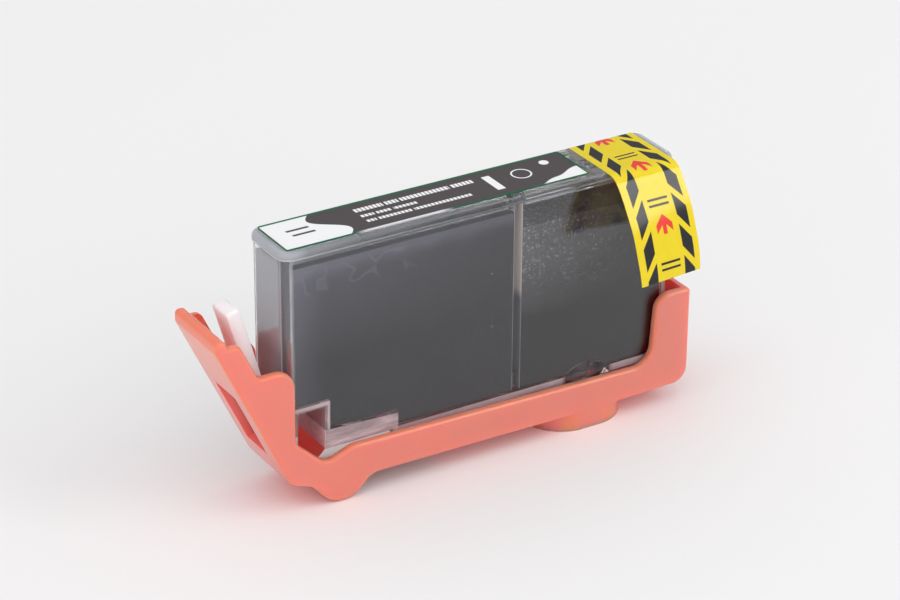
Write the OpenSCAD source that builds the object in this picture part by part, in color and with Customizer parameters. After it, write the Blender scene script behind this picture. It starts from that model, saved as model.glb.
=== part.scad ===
// Inkjet ink cartridge: a clear ink tank with a sprung latch lever, in its clip-on transport guard.
// Millimetres. +X runs away from the latch end, +Y is the far side, +Z is up.
// The origin is the centre of the flat underside of the outlet boss, on the ground.

/* [Tank] */
// Length of the tank body, without the lever
tank_l = 65.8; // [60:0.1:75]
// Width of the tank body
tank_w = 10.1; // [9.8:0.1:14]
// Height of the seam between tank and lid above the ground
seam_z = 39.7; // [36:0.1:46]
// Distance from the latch end of the tank to the outlet centre
outlet_inset = 51.25; // [48:0.05:54]
// Height of the tank underside above the ground
tank_base_z = 7.65; // [7.5:0.05:9]
// Thickness of the long side walls
side_wall = 0.8; // [0.6:0.1:1.2]
// Thickness of the two end walls
end_wall = 1.6; // [1.2:0.1:2]
// Thickness of the floor
floor_t = 1.2; // [1:0.05:1.6]
// Radius of the upright corners of the lid
corner_r = 2.2; // [1.2:0.1:2.4]
// Radius of the lower outlet end corner
heel_r = 1.2; // [0.6:0.1:2]
// Distance from the latch end to the divider between ink and foam
divider_inset = 38.15; // [34:0.05:40]
// Thickness of the divider
divider_t = 1.25; // [1:0.05:2]
// Height of the slot that lets ink through the foot of the divider
slot_h = 2; // [1:0.1:3]
// Width of that slot
slot_w = 4; // [2:0.1:6]
// Radius of the dome that lifts the foam round the outlet
dome_r = 6.4; // [5.8:0.1:7.5]
// Height of that dome above the floor, on the outlet axis
dome_h = 3; // [2.4:0.1:3.4]

/* [Latch end of the tank] */
// Length of the corner notch, from the latch end to the step wall
notch_l = 6.35; // [6:0.05:8]
// Height of the notch ceiling above the ground
notch_z = 15.4; // [15:0.1:18]
// Thickness of the wall that hangs in front of the notch
skirt_t = 1.85; // [1.5:0.05:2.6]
// Height of the lower edge of that wall
skirt_z = 9.5; // [9.2:0.1:10]
// Thickness of the ceiling and of the step wall
step_wall = 0.8; // [0.8:0.1:1.3]
// Rise of the underside over the chip
raise_h = 0.9; // [0.5:0.1:1.5]
// Length of the raised floor from the step wall
raise_l = 12.05; // [11:0.05:14]
// Thickness of the raised floor at the step wall
raise_t = 3; // [2.8:0.1:3.4]
// Fall of its upper face towards the outlet
raise_fall = 0.5; // [0:0.1:0.6]
// Lean of the latch lever from upright
lever_lean = 15.6; // [12:0.1:18]
// Thickness of the lever along the tank
lever_t = 2; // [1.5:0.1:2.5]
// Width of the lever
lever_w = 4.5; // [3.5:0.1:6]
// Height of the lever tip above the ground
lever_top_z = 33; // [28:0.1:36]
// Drop of the sloping lever tip, from the tank side to the outer side
lever_tip_drop = 0.7; // [0:0.1:1.2]
// Height where the tank side of the lever leaves the tank
lever_crotch_z = 13.3; // [13:0.1:18]
// Height of the foot of the lever
lever_foot_z = 11.2; // [11:0.1:12.5]

/* [Outlet] */
// Outside diameter of the outlet tube
port_d = 8.8; // [8:0.1:9]
// Bore of the outlet tube
port_bore = 6.8; // [6:0.1:7.2]
// Length that the outlet tube stands below the tank
port_drop = 2.75; // [2.5:0.05:3.4]
// Clearance of the wick in its bore
wick_gap = 0.05; // [0.02:0.01:0.1]

/* [Lid] */
// Thickness of the lid
lid_t = 1.3; // [1:0.1:2]
// Rounding of the upper edge of the lid
lid_edge_r = 0.8; // [0.4:0.1:1]
// Overhang of the lid past the walls of the tank
lid_over = 0.25; // [0.1:0.05:0.4]
// Depth of the rims that locate the lid in the tank
rim_h = 1; // [0.5:0.1:1.5]
// Thickness of those rims
rim_t = 0.7; // [0.5:0.1:1]
// Clearance of the rims in the tank
rim_gap = 0.1; // [0.05:0.01:0.2]
// Diameter of the fill hole over the ink
fill_d = 4; // [3:0.1:5]
// Distance from the latch end to the fill hole
fill_inset = 20.75; // [12:0.05:28]
// Diameter of the air vent hole over the foam
vent_d = 1; // [0.6:0.1:1.5]
// Diameter of the groove around the vent
vent_ring_d = 3.4; // [2.8:0.1:4]
// Width of that groove
vent_ring_w = 0.5; // [0.3:0.05:0.8]
// Depth of that groove
vent_ring_depth = 0.25; // [0.1:0.05:0.5]
// Distance from the outlet centre to the vent, towards the outlet end
vent_x = 1.3; // [0.5:0.1:6]
// Distance from the centre plane to the vent, towards the near side
vent_y = 1.3; // [0:0.1:2]

/* [Ink and foam] */
// Distance from the lid seam down to the ink surface
ink_drop = 1.7; // [1.3:0.1:16]
// Distance from the lid seam down to the top of the upper foam
foam_drop = 4.5; // [2.7:0.1:10]
// Height where the upper foam meets the lower one
foam_split_z = 21; // [16:0.1:26]
// Clearance between the contents and the walls
fill_gap = 0.05; // [0.02:0.01:0.1]

/* [Label] */
// Length of the label
label_l = 50; // [46:0.1:51]
// Width of the label
label_w = 8.6; // [7:0.1:8.8]
// Thickness of the label
label_t = 0.1; // [0.05:0.01:0.2]
// Distance from the latch end of the lid to the label
label_inset = 1.3; // [1.2:0.1:2]
// Thickness of everything printed
print_t = 0.03; // [0.02:0.01:0.05]
// Length of the white end before the dark field
white_l = 10; // [6:0.1:16]
// Height of the wave between the white end and the dark field
wave_h = 1.5; // [0.5:0.1:2.5]
// Width of the coloured rule along the label end
rule_w = 0.3; // [0.2:0.05:0.6]
// Length of each printed text bar
bar_l = 20; // [10:0.5:24]
// Width of each printed text bar
bar_w = 0.7; // [0.4:0.1:1]

/* [Pull tape] */
// Width of the pull tape
tape_w = 11.1; // [9:0.1:12]
// Distance from the outlet centre to the edge of the tape
tape_x = 2.2; // [2:0.1:3.4]
// Thickness of the tape
tape_t = 0.12; // [0.08:0.01:0.2]
// Length stuck to the far side of the tank
tape_back_l = 15.1; // [8:0.1:20]
// Length that runs on flat past the near edge of the lid
tape_flat_over = 0.5; // [0.3:0.1:1]
// Radius of the first bend of the free end
tape_bend_r = 3.1; // [2:0.1:5]
// Turn of the first bend
tape_bend_turn = 48; // [30:1:60]
// Radius of the long curve of the free end
tape_curl_r = 27.2; // [20:0.1:60]
// Turn of the long curve
tape_curl_turn = 32; // [10:1:34]
// Gap between the tape and what it is stuck to
glue_gap = 0.02; // [0.01:0.01:0.05]
// Distance from one printed chevron to the next along the tape
chevron_pitch = 4.72; // [4:0.02:6]
// Length of the side of a printed chevron arm
chevron_l = 3.35; // [2:0.05:3.6]
// Width of a printed chevron arm across the tape
chevron_w = 1.9; // [1.2:0.1:2.2]
// Sweep of a printed chevron arm towards the free end
chevron_sweep = 2.4; // [1:0.1:3]
// Distance from the tape edge to the chevrons
chevron_margin = 1.1; // [0.5:0.1:1.5]
// Distance from the free end to the upper corner of the first whole chevron
chevron_inset = 7.65; // [6:0.05:10]
// Distance from one printed arrow to the next along the tape
arrow_pitch = 9.44; // [7:0.02:12]

/* [Chip] */
// Length of the circuit board
board_l = 9; // [8:0.1:9.2]
// Width of the circuit board
board_w = 8; // [6:0.1:8.2]
// Thickness of the circuit board
board_t = 0.6; // [0.4:0.1:0.7]
// Depth of the board seat in the raised floor
seat_depth = 0.9; // [0.8:0.05:1]
// Clearance of the board in its seat
seat_gap = 0.1; // [0.05:0.01:0.15]
// Length of a contact pad
pad_l = 1.3; // [0.8:0.1:1.4]
// Width of a contact pad
pad_w = 0.9; // [0.6:0.1:1.1]
// Thickness of a contact pad
pad_t = 0.04; // [0.02:0.01:0.1]
// Distance between contact pads across the board
pad_pitch = 1.4; // [1.2:0.1:1.6]
// Diameter of the resin drop over the die
resin_d = 3.4; // [2:0.1:4]
// Height of the resin drop
resin_h = 0.6; // [0.3:0.1:0.7]
// Length of the light-emitting diode
led_l = 0.8; // [0.5:0.1:1]
// Width of the light-emitting diode
led_w = 1.6; // [1:0.1:2]
// Diameter of the two heat stakes
stake_d = 0.9; // [0.6:0.1:1.2]

/* [Guard] */
// Clearance of the tank between the side walls of the guard
guard_side_gap = 0.35; // [0.05:0.05:0.5]
// Wall thickness of the guard
guard_wall = 1.1; // [0.9:0.05:1.2]
// Distance from the end of the tank to the outside of the guard's end wall
guard_end_gap = 2.95; // [2:0.05:4]
// Height of the underside of the rails above the ground
rail_z = 3; // [2.4:0.1:3.2]
// Height of the rail tops above the ground at the outlet end
rail_top_z = 7.6; // [7.4:0.1:9.6]
// Rise of the rail tops towards the latch end
rail_rise = 1; // [0:0.1:1.5]
// Height of the upright at the outlet end
upright_z = 18.8; // [14:0.1:24]
// Length of that upright along the guard
upright_l = 6.1; // [4:0.1:8]
// Radius of the lower outlet end corner
guard_corner_r = 2.6; // [1.5:0.1:3]
// Length of the outlet boss
boss_l = 16; // [14:0.1:20]
// Distance from the outlet centre to the latch end edge of the guard floor
guard_floor_l = 26; // [20:0.1:28]
// Thickness of the cross ribs that carry the tank
rib_t = 1.2; // [0.8:0.1:1.6]
// Clearance between the rubber seal and its pocket
seal_gap = 0.1; // [0.05:0.01:0.2]
// Thickness of the sealing lip around the outlet tube
seal_lip = 0.7; // [0.5:0.1:0.8]
// Height that the lip stands up around the outlet tube
seal_lip_h = 1; // [0.5:0.1:1.5]
// Thickness of the boss floor under the seal
boss_floor = 1.2; // [1:0.1:1.6]

/* [Latch end of the guard] */
// Distance from the outlet centre to the face of the lip on the thumb plate
wing_x = 62.6; // [61.5:0.1:64]
// Height of the lip above the ground
wing_z = 30.7; // [29.6:0.1:33]
// Depth of the upright face of the lip
lip_h = 1.8; // [1:0.1:3]
// Thickness of the lip
lip_t = 1.7; // [1.3:0.1:2.2]
// Height of the cheek tops beside the lever
cheek_z = 29.5; // [27:0.1:30]
// Length of the cheek tops
cheek_l = 3.6; // [2.5:0.1:4]
// Height of the cheek ledges
ledge_z = 23.5; // [20:0.1:25]
// Distance from the outlet centre to the edge of the cheeks
cheek_x = 50.3; // [49:0.1:51]
// Distance from the outlet centre to the lowest part of the toe
toe_x = 42.7; // [41:0.1:44]
// Length of the window in the thumb plate
window_l = 11.6; // [8:0.1:14]
// Width of that window
window_w = 6; // [4:0.1:8]
// Distance down the thumb plate to that window
window_drop = 10.4; // [8:0.1:12]

/* [Hidden] */
$fn = 48;

// Small overlap where two bodies of one piece join
join = 0.2;
lid_z = seam_z + lid_t;
ink_z = seam_z - ink_drop;
foam_z = seam_z - foam_drop;
tank_x0 = -outlet_inset;
tank_x1 = tank_x0 + tank_l;
cavity_w = tank_w - 2 * side_wall;
ink_x0 = tank_x0 + end_wall;
divider_x0 = tank_x0 + divider_inset;
divider_x1 = divider_x0 + divider_t;
foam_x1 = tank_x1 - end_wall;
floor_z = tank_base_z + floor_t;
step_x = tank_x0 + notch_l;
raised_z = tank_base_z + raise_h;
raised_floor_z = raised_z + raise_t;
raised_x1 = step_x + raise_l;
port_z = tank_base_z - port_drop;
dome_z = floor_z + dome_h - dome_r;
lid_x0 = tank_x0 - lid_over;
lid_x1 = tank_x1 + lid_over;
lid_w = tank_w + 2 * lid_over;
fill_x = tank_x0 + fill_inset;

// Rounded outlines: each corner is [x, z, radius]
ARC_STEPS = 10;
function unit(v) = v / norm(v);
function flat2(p) = [p[0], p[1]];
function corner_arc(a, p, b, r) =
    let (u = unit(a - p), v = unit(b - p), half = acos(max(-1, min(1, u * v))) / 2,
        centre = p + unit(u + v) * r / sin(half), start = p + u * r / tan(half) - centre,
        turn = (u[0] * v[1] - u[1] * v[0] > 0 ? -1 : 1) * (180 - 2 * half), a0 = atan2(start[1], start[0]))
    [for (i = [0 : ARC_STEPS]) centre + r * [cos(a0 + turn * i / ARC_STEPS), sin(a0 + turn * i / ARC_STEPS)]];
function rounded(pts) =
    let (n = len(pts))
    [for (i = [0 : n - 1]) each pts[i][2] > 0
        ? corner_arc(flat2(pts[(i + n - 1) % n]), flat2(pts[i]), flat2(pts[(i + 1) % n]), pts[i][2])
        : [flat2(pts[i])]];

// An open wall line set inwards by d, with its corners kept mitred
function left_of(a, b) = let (u = unit(flat2(b) - flat2(a))) [-u[1], u[0]];
function inset_line(pts, d) =
    let (n = len(pts))
    [for (i = [0 : n - 1])
        let (n1 = i > 0 ? left_of(pts[i - 1], pts[i]) : left_of(pts[0], pts[1]),
            n2 = i < n - 1 ? left_of(pts[i], pts[i + 1]) : n1,
            p = flat2(pts[i]) + (n1 + n2) * d / (1 + n1 * n2))
        [p[0], p[1], max(0, pts[i][2] - d)]];
function reversed(pts) = [for (i = [len(pts) - 1 : -1 : 0]) pts[i]];
function wall_band(pts, d) = rounded(concat(pts, reversed(inset_line(pts, d))));

// Draws an outline in the X-Z plane and gives it a width across Y
module across(w, y = 0) {
    translate([0, y + w / 2, 0]) rotate([90, 0, 0]) linear_extrude(w) children();
}

module block(x0, x1, w, z0, z1) {
    translate([x0, -w / 2, z0]) cube([x1 - x0, w, z1 - z0]);
}

// An upright block with rounded upright corners
module round_block(x0, x1, w, z0, z1, r) {
    block(x0 + r, x1 - r, w, z0, z1);
    block(x0, x1, w - 2 * r, z0, z1);
    for (x = [x0 + r, x1 - r], y = [r - w / 2, w / 2 - r]) translate([x, y, z0]) cylinder(r = r, h = z1 - z0);
}

// Tank
function tank_outline() = rounded([
    [tank_x0, seam_z, 0], [tank_x0, skirt_z, 0], [tank_x0 + skirt_t, skirt_z, 0],
    [tank_x0 + skirt_t, notch_z, 0], [step_x, notch_z, 0], [step_x, raised_z, 0],
    [raised_x1 - step_wall, raised_z, 0], [raised_x1 - step_wall, tank_base_z, 0],
    [tank_x1, tank_base_z, heel_r], [tank_x1, seam_z, 0]]);

function ink_outline(top_z, g) = [
    [ink_x0 + g, top_z], [ink_x0 + g, notch_z + step_wall + g], [step_x + step_wall + g, notch_z + step_wall + g],
    [step_x + step_wall + g, raised_floor_z + g], [raised_x1 + g, raised_floor_z - raise_fall + g],
    [raised_x1 + g, floor_z + g], [divider_x0 - g, floor_z + g], [divider_x0 - g, top_z]];

module foam_block(z0, z1, g) {
    block(divider_x1 + g, foam_x1 - g, cavity_w - 2 * g, z0, z1);
}

module outlet_dome(g) {
    translate([0, 0, dome_z]) sphere(r = dome_r + g);
}

module lever() {
    lean = tan(lever_lean);
    top_x = tank_x0 - (lever_top_z - lever_crotch_z) * lean;
    foot_x = tank_x0 - lever_t + (lever_crotch_z - lever_foot_z) * lean;
    across(lever_w) polygon([
        [top_x, lever_top_z], [top_x - lever_t, lever_top_z - lever_tip_drop],
        [foot_x, lever_foot_z], [tank_x0 + join, lever_foot_z], [tank_x0 + join, lever_crotch_z - join / lean]]);
}

board_x1 = raised_x1 - step_wall - (raise_l - step_wall - board_l) / 2;
board_x0 = board_x1 - board_l;
board_z1 = raised_z + seat_depth;
board_z0 = board_z1 - board_t;
stake_x = board_x1 - stake_d;
stake_y = board_w / 2 - stake_d;

module stakes(d) {
    for (y = [-stake_y, stake_y]) translate([stake_x, y, raised_z]) cylinder(d = d, h = seat_depth + join);
}

module tank() {
    color([0.72, 0.72, 0.76, 0.45]) {
        difference() {
            intersection() {
                across(tank_w) polygon(tank_outline());
                round_block(tank_x0, tank_x1, tank_w, skirt_z - 2 * port_drop, seam_z, corner_r - lid_over);
            }
            across(cavity_w) polygon(ink_outline(seam_z + join, 0));
            difference() {
                foam_block(floor_z, seam_z + join, 0);
                outlet_dome(0);
            }
            block(divider_x0 - join, divider_x1 + join, slot_w, floor_z, floor_z + slot_h);
            cylinder(d = port_bore, h = floor_z + dome_h);
            block(board_x0 - seat_gap, board_x1 + seat_gap, board_w + 2 * seat_gap, raised_z - join, board_z1);
            translate([(board_x0 + board_x1) / 2, 0, board_z1 - join])
                cylinder(d = resin_d + 2 * seat_gap, h = resin_h + seat_gap + join);
        }
        difference() {
            translate([0, 0, port_z]) cylinder(d = port_d, h = port_drop + join);
            cylinder(d = port_bore, h = floor_z + join);
        }
        lever();
        stakes(stake_d);
    }
}

// Lid, with its rounded edge swept round the four corners
module edge_profile() {
    square([corner_r - lid_edge_r, lid_t]);
    square([corner_r, lid_t - lid_edge_r]);
    intersection() {
        translate([corner_r - lid_edge_r, lid_t - lid_edge_r]) circle(r = lid_edge_r);
        square([corner_r, lid_t]);
    }
}

module lid_section(w) {
    square([w, lid_t - lid_edge_r]);
    translate([lid_edge_r, 0]) square([w - 2 * lid_edge_r, lid_t]);
    intersection() {
        square([w, lid_t]);
        for (x = [lid_edge_r, w - lid_edge_r]) translate([x, lid_t - lid_edge_r]) circle(r = lid_edge_r);
    }
}

module rim(x0, x1) {
    difference() {
        block(x0 + rim_gap, x1 - rim_gap, cavity_w - 2 * rim_gap, seam_z - rim_h, seam_z + join);
        block(x0 + rim_gap + rim_t, x1 - rim_gap - rim_t, cavity_w - 2 * rim_gap - 2 * rim_t,
            seam_z - rim_h - join, seam_z + 2 * join);
    }
}

module lid() {
    color([0.74, 0.74, 0.78, 0.45]) difference() {
        union() {
            for (x = [lid_x0 + corner_r, lid_x1 - corner_r], y = [corner_r - lid_w / 2, lid_w / 2 - corner_r])
                translate([x, y, seam_z]) rotate_extrude() edge_profile();
            translate([lid_x0 + corner_r, -lid_w / 2, seam_z]) rotate([90, 0, 90])
                linear_extrude(lid_x1 - lid_x0 - 2 * corner_r) lid_section(lid_w);
            translate([lid_x0, lid_w / 2 - corner_r, seam_z]) rotate([90, 0, 0])
                linear_extrude(lid_w - 2 * corner_r) lid_section(lid_x1 - lid_x0);
            rim(ink_x0, divider_x0);
            rim(divider_x1, foam_x1);
        }
        translate([fill_x, 0, seam_z - join]) cylinder(d = fill_d, h = lid_t + 2 * join);
        translate([vent_x, -vent_y, seam_z - join]) cylinder(d = vent_d, h = lid_t + 2 * join);
        translate([vent_x, -vent_y, lid_z - vent_ring_depth]) difference() {
            cylinder(d = vent_ring_d, h = vent_ring_depth + join);
            translate([0, 0, -join]) cylinder(d = vent_ring_d - 2 * vent_ring_w, h = vent_ring_depth + 3 * join);
        }
    }
}

module fill_plug() {
    color([0.9, 0.9, 0.88]) translate([fill_x, 0, 0]) {
        translate([0, 0, seam_z]) cylinder(d = fill_d, h = lid_t);
        translate([0, 0, seam_z - rim_h]) cylinder(d = fill_d - 2 * rim_gap, h = rim_h + join);
    }
}

// What the tank holds
module ink_fill() {
    color([0.09, 0.08, 0.1]) {
        across(cavity_w - 2 * fill_gap) polygon(ink_outline(ink_z, fill_gap));
        block(divider_x0 - join, divider_x1, slot_w - 2 * fill_gap, floor_z + fill_gap, floor_z + slot_h - fill_gap);
    }
}

module foam_upper() {
    color([0.2, 0.2, 0.22]) foam_block(foam_split_z, foam_z, fill_gap);
}

module foam_lower() {
    color([0.13, 0.13, 0.15]) difference() {
        foam_block(floor_z, foam_split_z, fill_gap);
        outlet_dome(fill_gap);
    }
}

module outlet_wick() {
    color([0.1, 0.1, 0.11]) {
        translate([0, 0, port_z]) cylinder(d = port_bore - 2 * wick_gap, h = floor_z - port_z);
        intersection() {
            translate([0, 0, floor_z - join]) cylinder(d = port_bore - 2 * wick_gap, h = dome_h + join);
            outlet_dome(0);
        }
    }
}

// Label: a white sheet, a dark field with a wavy end, a thin rule and bars in the place of words
label_x0 = lid_x0 + label_inset;
label_x1 = label_x0 + label_l;
label_print_z = lid_z + label_t;
WAVE_STEPS = 24;
// Share by which each next text bar is shorter and thinner
bar_taper = 0.12;

module label() {
    color("white") block(label_x0, label_x1, label_w, lid_z, label_print_z);
}

module label_field() {
    y0 = -label_w / 2;
    wave = [for (i = [0 : WAVE_STEPS]) let (f = i / WAVE_STEPS)
        [label_x0 + white_l + 0.5 * wave_h * (1 - f) + wave_h * sin(360 * f), y0 + label_w * f]];
    color([0.27, 0.26, 0.26]) translate([0, 0, label_print_z]) linear_extrude(print_t)
        polygon(concat(wave, [[label_x1 - rule_w, -y0], [label_x1 - rule_w, y0]]));
}

module label_rule() {
    color([0, 0.45, 0.3]) for (x = [label_x0, label_x1 - rule_w])
        block(x, x + rule_w, label_w, label_print_z, label_print_z + print_t);
}

module label_bars() {
    x0 = label_x0 + white_l + 3 * wave_h;
    bar_pitch = 2.4 * bar_w;
    color([0.95, 0.95, 0.95]) translate([0, 0, label_print_z + print_t]) {
        for (i = [0 : 2]) translate([x0, bar_pitch * (0.8 - i), 0])
            cube([bar_l * (1 - bar_taper * i), bar_w * (1 + bar_taper * (2 - i)), print_t]);
        translate([x0 + bar_l + 2 * bar_w, -label_w / 4, 0]) cube([2 * bar_w, label_w / 2, print_t]);
        translate([label_x1 - 4 * bar_w, 0, 0]) cylinder(d = 2 * bar_w, h = print_t);
    }
}

// Pull tape: runs of [length, turn] from the lower edge on the far side, over the lid, to the free end
TAPE_STEPS = 8;
back_y = lid_w / 2 + glue_gap;
top_z = lid_z + glue_gap;
turn_r = lid_edge_r + glue_gap;
tape_runs = [
    [tape_back_l, 0],
    [turn_r * PI / 2, 90],
    [back_y - turn_r + lid_w / 2 + tape_flat_over, 0],
    [tape_bend_r * tape_bend_turn * PI / 180, tape_bend_turn],
    [tape_curl_r * tape_curl_turn * PI / 180, tape_curl_turn]];
tape_len = tape_runs[0][0] + tape_runs[1][0] + tape_runs[2][0] + tape_runs[3][0] + tape_runs[4][0];

// Point and heading after a length s of one run that starts at p with heading h
function run_end(p, h, run, s) =
    let (k = run[1] / run[0], r = run[1] == 0 ? 0 : 180 / (PI * k), h2 = h + k * s)
    run[1] == 0
        ? [p[0] + s * cos(h), p[1] + s * sin(h), h]
        : [p[0] + r * (sin(h2) - sin(h)), p[1] - r * (cos(h2) - cos(h)), h2];

// Point [y, z] and heading of the tape at a length s from its far end
function tape_at(s, i = 0, p = [back_y, top_z - turn_r - tape_back_l], h = 90) =
    s <= tape_runs[i][0] || i == len(tape_runs) - 1
        ? run_end(p, h, tape_runs[i], s)
        : let (e = run_end(p, h, tape_runs[i], tape_runs[i][0])) tape_at(s - tape_runs[i][0], i + 1, [e[0], e[1]], e[2]);

function tape_point(s, lift) = let (q = tape_at(s)) [q[0] + lift * sin(q[2]), q[1] - lift * cos(q[2])];

// Lengths at which the outline of the tape has a point
tape_bend_s = tape_len - tape_runs[4][0] - tape_runs[3][0];
tape_curl_s = tape_len - tape_runs[4][0];
tape_marks = concat(
    [0],
    [for (i = [0 : TAPE_STEPS]) tape_runs[0][0] + tape_runs[1][0] * i / TAPE_STEPS],
    [for (i = [0 : TAPE_STEPS - 1]) tape_bend_s + tape_runs[3][0] * i / TAPE_STEPS],
    [for (i = [0 : TAPE_STEPS]) tape_curl_s + tape_runs[4][0] * i / TAPE_STEPS]);

module pull_tape() {
    color([0.98, 0.9, 0.12]) translate([tape_x, 0, 0]) rotate([90, 0, 90]) linear_extrude(tape_w) polygon(concat(
        [for (s = tape_marks) tape_point(s, tape_t)],
        reversed([for (s = tape_marks) tape_point(s, 0)])));
}

// A printed patch from x0 to x1 with two sides along the tape, whose x1 side lies a sweep further on.
// It is cut into rings at constant lengths, so that it bends with the tape.
PATCH_TIP = 0.04;
function patch_marks(a, b) = concat([a], [for (m = tape_marks) if (m > a + PATCH_TIP && m < b - PATCH_TIP) m]);
function between(f) = max(0, min(1, f));

module patch(x0, x1, s0, side, sweep) {
    w = x1 - x0;
    turn = max(sweep, PATCH_TIP);
    first = min(side, turn);
    second = max(side, turn);
    end = side + turn;
    marks = concat(patch_marks(s0, s0 + first), patch_marks(s0 + first, s0 + second),
        patch_marks(s0 + second, s0 + end), [s0 + end]);
    n = len(marks);
    points = [for (s = marks) let (
            xa = x0 + w * min(between((s - s0 - side) / turn), 1 - PATCH_TIP),
            xb = x0 + w * max(between((s - s0) / turn), PATCH_TIP),
            low = tape_point(s, tape_t), high = tape_point(s, tape_t + print_t))
        each [[min(xa, xb), low[0], low[1]], [max(xa, xb), low[0], low[1]],
            [max(xa, xb), high[0], high[1]], [min(xa, xb), high[0], high[1]]]];
    sides = [for (i = [0 : n - 2], k = [0 : 3]) let (
            a = 4 * i + k, b = 4 * i + (k + 1) % 4)
        each [[a, b, a + 4], [b, b + 4, a + 4]]];
    last = 4 * (n - 1);
    polyhedron(points, concat(sides, [[0, 3, 2], [0, 2, 1], [last, last + 1, last + 2], [last, last + 2, last + 3]]));
}

tape_mid_x = tape_x + tape_w / 2;
chevron_n = floor((tape_len - chevron_inset) / chevron_pitch);
arrow_n = floor(tape_len / arrow_pitch);

module tape_chevrons() {
    edge = tape_w / 2 - chevron_margin;
    color([0.08, 0.08, 0.08]) for (i = [0 : chevron_n - 1], side = [-1, 1]) {
        s0 = tape_len - chevron_inset - i * chevron_pitch;
        patch(tape_mid_x + side * (edge - chevron_w), tape_mid_x + side * edge, s0, chevron_l, chevron_sweep);
    }
}

// Arrows that point back along the tape: two swept barbs and a shaft
barb_w = 1.4;
barb_l = 1.1;
barb_sweep = 1.5;
shaft_w = 0.7;
shaft_l = 3;
arrow_inset = 9.65;
text_inset = 2.6;
text_w = 1.5;
text_t = 0.35;
text_gap = 0.9;

module tape_arrows() {
    color([0.95, 0.25, 0.2]) for (i = [0 : arrow_n - 1]) {
        s0 = tape_len - arrow_inset - i * arrow_pitch;
        for (side = [-1, 1])
            patch(tape_mid_x + side * (shaft_w / 2 + print_t), tape_mid_x + side * barb_w, s0, barb_l, barb_sweep);
        patch(tape_mid_x - shaft_w / 2, tape_mid_x + shaft_w / 2, s0, shaft_l, 0);
    }
}

// Plain bars across the middle of the tape, in the place of words
module tape_bars() {
    color([0.08, 0.08, 0.08]) for (i = [0 : arrow_n - 1], k = [0, 1])
        patch(tape_mid_x - text_w, tape_mid_x + text_w,
            tape_len - text_inset - i * arrow_pitch + text_gap * k, text_t, 0);
}

// Chip on the underside
pad_inset = 4.4;
pad_step = 1.8;

module chip_board() {
    color([0.78, 0.75, 0.72]) difference() {
        block(board_x0, board_x1, board_w, board_z0, board_z1);
        translate([0, 0, -join]) stakes(stake_d + 2 * seat_gap);
    }
}

module chip_contacts() {
    color([0.85, 0.68, 0.3]) for (ix = [0, 1], iy = [-1.5 : 1 : 1.5])
        translate([board_x1 - pad_inset - ix * pad_step, iy * pad_pitch - pad_w / 2, board_z0 - pad_t])
            cube([pad_l, pad_w, pad_t]);
}

module chip_resin() {
    color([0.64, 0.6, 0.58]) translate([(board_x0 + board_x1) / 2, 0, board_z1])
        cylinder(d = resin_d, h = resin_h);
}

module chip_led() {
    color([0.95, 0.93, 0.85]) translate([board_x0 + led_l / 2, -led_w / 2, board_z0 - led_l / 2])
        cube([led_l, led_w, led_l / 2]);
}

// Guard: two side walls joined by the thumb plate, the toe, the floor and the end wall
guard_in_w = tank_w + 2 * guard_side_gap;
guard_w = guard_in_w + 2 * guard_wall;
guard_end = tank_x1 + guard_end_gap;
// Heel, instep and toe: the three bends of the latch end, from the thumb plate down to the ground
heel_out = 0.95;
heel_rise = 1.9;
instep_out = 5.05;
instep_rise = 0.6;
heel_x = cheek_x + heel_out;
heel_z = rail_z + heel_rise;
instep_x = toe_x + instep_out;
instep_z = rail_z + instep_rise;
toe_l = 3.6;
foot_r = 2;
toe_r = 4;
tip_r = 0.7;
lip_r = 1;
// Scoop in the rail tops behind the cheeks, which shows the notch of the tank
scoop_out = 2.7;
scoop_z = 6.9;
scoop_top_z = 11.4;
scoop_r = 2.4;
shoulder_out = 1.6;
shoulder_r = 3.5;
// Roundings of the cheeks and of the upright at the outlet end
cheek_r = 1.2;
cheek_foot_r = 3;
cheek_inset = 1.6;
upright_taper = 0.8;
upright_r = 2.5;
upright_foot_r = 3.2;
plate_low = [-wing_x, wing_z - lip_h];
plate_line = [
    [-wing_x, wing_z - tip_r, 0], [plate_low[0], plate_low[1], lip_r], [-heel_x, heel_z, foot_r],
    [-instep_x, instep_z, foot_r], [-toe_x - toe_l / 2, 0, toe_r], [-toe_x + toe_l / 3, 0, 0]];
plate_lean = atan2(wing_x - heel_x, plate_low[1] - heel_z);
upright_x = guard_end - upright_l;
cheek_end_x = -wing_x + lip_t + cheek_l - cheek_inset;

function side_outline() = rounded([
    [-wing_x, wing_z, tip_r], [plate_low[0], plate_low[1], lip_r], [-heel_x, heel_z, foot_r],
    [-instep_x, instep_z, foot_r], [-toe_x - toe_l / 2, 0, toe_r], [-toe_x + toe_l / 2, 0, toe_r],
    [-toe_x + toe_l / 2 + rail_z, rail_z, upright_r], [guard_end, rail_z, guard_corner_r],
    [guard_end, upright_z, 0], [upright_x, upright_z, upright_r],
    [upright_x - upright_taper, rail_top_z, upright_foot_r],
    [-toe_x + shoulder_out, rail_top_z + rail_rise, shoulder_r], [-toe_x - scoop_out, scoop_z, scoop_r],
    [-cheek_x, scoop_top_z, foot_r], [-cheek_x, ledge_z, cheek_foot_r],
    [cheek_end_x + (cheek_z - ledge_z) * tan(plate_lean), ledge_z, cheek_r],
    [cheek_end_x, cheek_z, cheek_r], [-wing_x + lip_t, cheek_z, lip_r / 2], [-wing_x + lip_t, wing_z, tip_r]]);

module boss_plan(z0, z1) {
    for (s = [-1, 1]) translate([s * (boss_l - guard_w) / 2, 0, z0]) cylinder(d = guard_w, h = z1 - z0);
    block(-(boss_l - guard_w) / 2, (boss_l - guard_w) / 2, guard_w, z0, z1);
}

seal_d = port_d + 2 * (seal_gap + seal_lip);
pocket_d = seal_d + 2 * seal_gap;

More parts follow.
